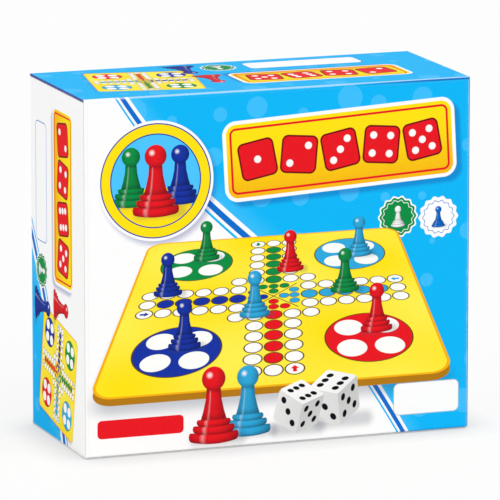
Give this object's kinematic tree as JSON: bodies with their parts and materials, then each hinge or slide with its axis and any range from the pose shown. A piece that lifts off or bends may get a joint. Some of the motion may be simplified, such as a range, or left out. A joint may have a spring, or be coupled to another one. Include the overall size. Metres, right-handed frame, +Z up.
{
  "type": "boxed ludo game",
  "caption": "Ludo game in a tuck-front card carton: hinged cover, thermoformed insert, square board, leaflet, pawns in colour sets and dice.",
  "frame": {"origin": "middle of the carton's underside, as it stands on its long edge", "axes": "+X to the right as seen from the front, +Y from the cover to the back panel, +Z up"},
  "size_m": [0.27, 0.114, 0.2393],
  "materials": {
    "printed_card": "printed and varnished corrugated card",
    "white_sheet": "thermoformed white sheet",
    "grey_board": "bare grey board",
    "board_print": "printed and varnished paper",
    "leaflet_paper": "uncoated paper",
    "red_plastic": "glossy moulding",
    "green_plastic": "glossy moulding",
    "blue_plastic": "glossy moulding",
    "sky_plastic": "glossy moulding",
    "dice_plastic": "glossy moulding with black pips"
  },
  "bodies": {
    "carton": {"box_tray": "printed_card", "insert_tray": "white_sheet"},
    "cover": {"cover": "printed_card"},
    "tuck_flap": {"tuck_flap": "printed_card"},
    "board": {"board_core": "grey_board", "board_sheet": "board_print"},
    "leaflet": {"rules_leaflet": "leaflet_paper"},
    "pawn_red_1": {"pawn_red_1": "red_plastic"},
    "pawn_red_2": {"pawn_red_2": "red_plastic"},
    "pawn_red_3": {"pawn_red_3": "red_plastic"},
    "pawn_red_4": {"pawn_red_4": "red_plastic"},
    "pawn_green_1": {"pawn_green_1": "green_plastic"},
    "pawn_green_2": {"pawn_green_2": "green_plastic"},
    "pawn_green_3": {"pawn_green_3": "green_plastic"},
    "pawn_green_4": {"pawn_green_4": "green_plastic"},
    "pawn_blue_1": {"pawn_blue_1": "blue_plastic"},
    "pawn_blue_2": {"pawn_blue_2": "blue_plastic"},
    "pawn_blue_3": {"pawn_blue_3": "blue_plastic"},
    "pawn_blue_4": {"pawn_blue_4": "blue_plastic"},
    "pawn_sky_1": {"pawn_sky_1": "sky_plastic"},
    "pawn_sky_2": {"pawn_sky_2": "sky_plastic"},
    "pawn_sky_3": {"pawn_sky_3": "sky_plastic"},
    "pawn_sky_4": {"pawn_sky_4": "sky_plastic"},
    "die_1": {"die_1": "dice_plastic"},
    "die_2": {"die_2": "dice_plastic"}
  },
  "joints": [
    {"name": "cover_hinge", "type": "hinge", "parent": "carton", "child": "cover", "pos_m": [0, -0.057, 0.23927], "axis": [-1, 0, 0], "range_deg": [0, 264]},
    {"name": "tuck_hinge", "type": "hinge", "parent": "cover", "child": "tuck_flap", "pos_m": [0, -0.057, 0.0019], "axis": [-1, 0, 0], "range_deg": [0, 40]},
    {"name": "board_slide", "type": "slide", "parent": "carton", "child": "board", "axis": [0, -1, 0], "range_m": [0, 0.0485]},
    {"name": "leaflet_slide", "type": "slide", "parent": "carton", "child": "leaflet", "axis": [0, -1, 0], "range_m": [0, 0.0231]},
    {"name": "pawn_red_1_slide", "type": "slide", "parent": "carton", "child": "pawn_red_1", "axis": [0, -1, 0], "range_m": [0, 0.0415]},
    {"name": "pawn_red_2_slide", "type": "slide", "parent": "carton", "child": "pawn_red_2", "axis": [0, -1, 0], "range_m": [0, 0.0415]},
    {"name": "pawn_red_3_slide", "type": "slide", "parent": "carton", "child": "pawn_red_3", "axis": [0, -1, 0], "range_m": [0, 0.0415]},
    {"name": "pawn_red_4_slide", "type": "slide", "parent": "carton", "child": "pawn_red_4", "axis": [0, -1, 0], "range_m": [0, 0.0415]},
    {"name": "pawn_green_1_slide", "type": "slide", "parent": "carton", "child": "pawn_green_1", "axis": [0, -1, 0], "range_m": [0, 0.0415]},
    {"name": "pawn_green_2_slide", "type": "slide", "parent": "carton", "child": "pawn_green_2", "axis": [0, -1, 0], "range_m": [0, 0.0415]},
    {"name": "pawn_green_3_slide", "type": "slide", "parent": "carton", "child": "pawn_green_3", "axis": [0, -1, 0], "range_m": [0, 0.0415]},
    {"name": "pawn_green_4_slide", "type": "slide", "parent": "carton", "child": "pawn_green_4", "axis": [0, -1, 0], "range_m": [0, 0.0415]},
    {"name": "pawn_blue_1_slide", "type": "slide", "parent": "carton", "child": "pawn_blue_1", "axis": [0, -1, 0], "range_m": [0, 0.0415]},
    {"name": "pawn_blue_2_slide", "type": "slide", "parent": "carton", "child": "pawn_blue_2", "axis": [0, -1, 0], "range_m": [0, 0.0415]},
    {"name": "pawn_blue_3_slide", "type": "slide", "parent": "carton", "child": "pawn_blue_3", "axis": [0, -1, 0], "range_m": [0, 0.0415]},
    {"name": "pawn_blue_4_slide", "type": "slide", "parent": "carton", "child": "pawn_blue_4", "axis": [0, -1, 0], "range_m": [0, 0.0415]},
    {"name": "pawn_sky_1_slide", "type": "slide", "parent": "carton", "child": "pawn_sky_1", "axis": [0, -1, 0], "range_m": [0, 0.0415]},
    {"name": "pawn_sky_2_slide", "type": "slide", "parent": "carton", "child": "pawn_sky_2", "axis": [0, -1, 0], "range_m": [0, 0.0415]},
    {"name": "pawn_sky_3_slide", "type": "slide", "parent": "carton", "child": "pawn_sky_3", "axis": [0, -1, 0], "range_m": [0, 0.0415]},
    {"name": "pawn_sky_4_slide", "type": "slide", "parent": "carton", "child": "pawn_sky_4", "axis": [0, -1, 0], "range_m": [0, 0.0415]},
    {"name": "die_1_slide", "type": "slide", "parent": "carton", "child": "die_1", "axis": [0, -1, 0], "range_m": [0, 0.0415]},
    {"name": "die_2_slide", "type": "slide", "parent": "carton", "child": "die_2", "axis": [0, -1, 0], "range_m": [0, 0.0415]}
  ],
  "couplings": [
    {"joint": "tuck_hinge", "follows": "cover_hinge", "ratio": 0.15},
    {"joint": "board_slide", "follows": "cover_hinge", "m_per_rad": 0.0105},
    {"joint": "leaflet_slide", "follows": "cover_hinge", "m_per_rad": 0.005},
    {"joint": "pawn_red_1_slide", "follows": "cover_hinge", "m_per_rad": 0.009},
    {"joint": "pawn_red_2_slide", "follows": "cover_hinge", "m_per_rad": 0.009},
    {"joint": "pawn_red_3_slide", "follows": "cover_hinge", "m_per_rad": 0.009},
    {"joint": "pawn_red_4_slide", "follows": "cover_hinge", "m_per_rad": 0.009},
    {"joint": "pawn_green_1_slide", "follows": "cover_hinge", "m_per_rad": 0.009},
    {"joint": "pawn_green_2_slide", "follows": "cover_hinge", "m_per_rad": 0.009},
    {"joint": "pawn_green_3_slide", "follows": "cover_hinge", "m_per_rad": 0.009},
    {"joint": "pawn_green_4_slide", "follows": "cover_hinge", "m_per_rad": 0.009},
    {"joint": "pawn_blue_1_slide", "follows": "cover_hinge", "m_per_rad": 0.009},
    {"joint": "pawn_blue_2_slide", "follows": "cover_hinge", "m_per_rad": 0.009},
    {"joint": "pawn_blue_3_slide", "follows": "cover_hinge", "m_per_rad": 0.009},
    {"joint": "pawn_blue_4_slide", "follows": "cover_hinge", "m_per_rad": 0.009},
    {"joint": "pawn_sky_1_slide", "follows": "cover_hinge", "m_per_rad": 0.009},
    {"joint": "pawn_sky_2_slide", "follows": "cover_hinge", "m_per_rad": 0.009},
    {"joint": "pawn_sky_3_slide", "follows": "cover_hinge", "m_per_rad": 0.009},
    {"joint": "pawn_sky_4_slide", "follows": "cover_hinge", "m_per_rad": 0.009},
    {"joint": "die_1_slide", "follows": "cover_hinge", "m_per_rad": 0.009},
    {"joint": "die_2_slide", "follows": "cover_hinge", "m_per_rad": 0.009}
  ]
}
